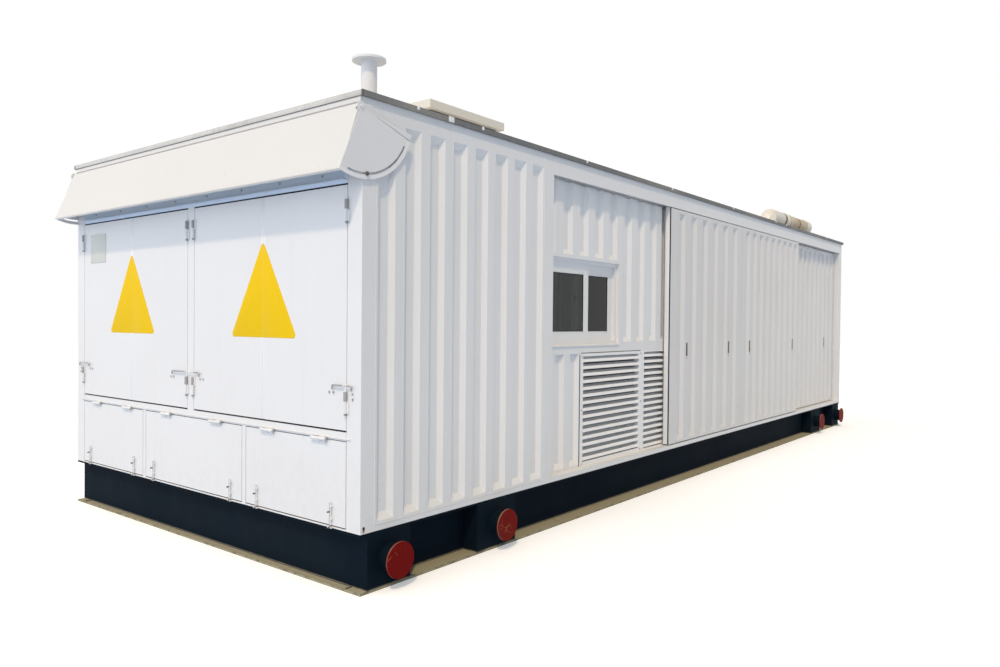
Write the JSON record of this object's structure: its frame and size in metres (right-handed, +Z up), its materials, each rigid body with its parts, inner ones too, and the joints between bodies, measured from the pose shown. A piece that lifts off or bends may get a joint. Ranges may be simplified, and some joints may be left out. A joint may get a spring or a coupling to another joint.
{
  "type": "containerised gas generator set",
  "caption": "Long white insulated enclosure of a gas generator set on a black beam skid, with sliding side doors, hinged end doors, lower flaps, a rain hood, louvres and roof pipes.",
  "frame": {"origin": "on the ground, on the bottom flange of the skid's middle cross beam, at the middle of the length and width", "axes": "+X along the length, away from the end with the four hinged doors; -Y the side with the window, louvres and sliding doors; +Z up"},
  "size_m": [11.2238, 4.218, 3.51],
  "materials": {
    "container_paint": "satin white paint on pressed and welded sheet",
    "hood_paint": "satin cream-white paint",
    "roof_paint": "satin cream paint",
    "skid_paint": "semi-matt blue-black paint with dust on the flanges",
    "cap_paint": "semi-matt red paint, worn at the rim",
    "trim_steel": "matt weathered grey",
    "bare_steel": "galvanised, dull",
    "deck_steel": "matt grey floor plate",
    "window_glass": "tinted pane"
  },
  "bodies": {
    "housing": {"side_beams": "skid_paint", "end_beams": "skid_paint", "cross_beams": "skid_paint", "lifting_boxes": "skid_paint", "lifting_stubs": "skid_paint", "lifting_caps": "cap_paint", "floor_deck": "deck_steel", "corner_posts": "container_paint", "side_posts": "container_paint", "inner_posts": "container_paint", "bottom_rails": "container_paint", "end_sills": "container_paint", "front_wall": "container_paint", "front_top_rail": "container_paint", "door_tracks": "bare_steel", "bay_upper_wall": "container_paint", "bay_side_wall": "container_paint", "window_surround": "container_paint", "window_frame": "container_paint", "window_sashes": "container_paint", "window_glass": "window_glass", "bay_band": "container_paint", "bay_lower_wall": "container_paint", "large_louvre": "container_paint", "small_louvre": "container_paint", "back_wall": "container_paint", "far_end_wall": "container_paint", "door_header": "container_paint", "door_centre_post": "container_paint", "door_mid_rail": "container_paint", "flap_mullions": "container_paint", "end_hinge_lugs": "container_paint", "hood_pivots": "bare_steel", "roof_panel": "container_paint", "roof_trim": "trim_steel", "vent_stack": "roof_paint", "roof_hatch": "roof_paint", "exhaust_pipe": "roof_paint"},
    "end_door_1": {"end_door_1": "container_paint"},
    "end_door_2": {"end_door_2": "container_paint"},
    "end_door_3": {"end_door_3": "container_paint"},
    "end_door_4": {"end_door_4": "container_paint"},
    "end_flap_1": {"end_flap_1": "container_paint"},
    "end_flap_2": {"end_flap_2": "container_paint"},
    "end_flap_3": {"end_flap_3": "container_paint"},
    "side_door_1": {"side_door_1": "container_paint"},
    "side_door_2": {"side_door_2": "container_paint"},
    "side_door_3": {"side_door_3": "container_paint"},
    "rain_hood": {"hood_panel": "hood_paint", "hood_side_plates": "hood_paint"}
  },
  "joints": [
    {"name": "end_door_1_hinge", "type": "hinge", "parent": "housing", "child": "end_door_1", "pos_m": [-5.512, -1.862, 1.8], "axis": [0, 0, 1], "range_deg": [0, 110]},
    {"name": "end_door_2_hinge", "type": "hinge", "parent": "housing", "child": "end_door_2", "pos_m": [-5.512, -0.048, 1.8], "axis": [0, 0, -1], "range_deg": [0, 90]},
    {"name": "end_door_3_hinge", "type": "hinge", "parent": "housing", "child": "end_door_3", "pos_m": [-5.512, 0.048, 1.8], "axis": [0, 0, 1], "range_deg": [0, 90]},
    {"name": "end_door_4_hinge", "type": "hinge", "parent": "housing", "child": "end_door_4", "pos_m": [-5.512, 1.862, 1.8], "axis": [0, 0, -1], "range_deg": [0, 110]},
    {"name": "end_flap_1_hinge", "type": "hinge", "parent": "housing", "child": "end_flap_1", "pos_m": [-5.512, -1.309, 0.965], "axis": [0, 1, 0], "range_deg": [0, 85]},
    {"name": "end_flap_2_hinge", "type": "hinge", "parent": "housing", "child": "end_flap_2", "pos_m": [-5.512, 0, 0.965], "axis": [0, 1, 0], "range_deg": [0, 85]},
    {"name": "end_flap_3_hinge", "type": "hinge", "parent": "housing", "child": "end_flap_3", "pos_m": [-5.512, 1.309, 0.965], "axis": [0, 1, 0], "range_deg": [0, 85]},
    {"name": "side_door_1_slide", "type": "slide", "parent": "housing", "child": "side_door_1", "axis": [-1, 0, 0], "range_m": [0, 2.15]},
    {"name": "side_door_2_slide", "type": "slide", "parent": "housing", "child": "side_door_2", "axis": [1, 0, 0], "range_m": [0, 2.2]},
    {"name": "side_door_3_slide", "type": "slide", "parent": "housing", "child": "side_door_3", "axis": [-1, 0, 0], "range_m": [0, 2.1]},
    {"name": "rain_hood_pivot", "type": "hinge", "parent": "housing", "child": "rain_hood", "pos_m": [-5.526, 0, 3.075], "axis": [0, 1, 0], "range_deg": [-18, 55]}
  ]
}
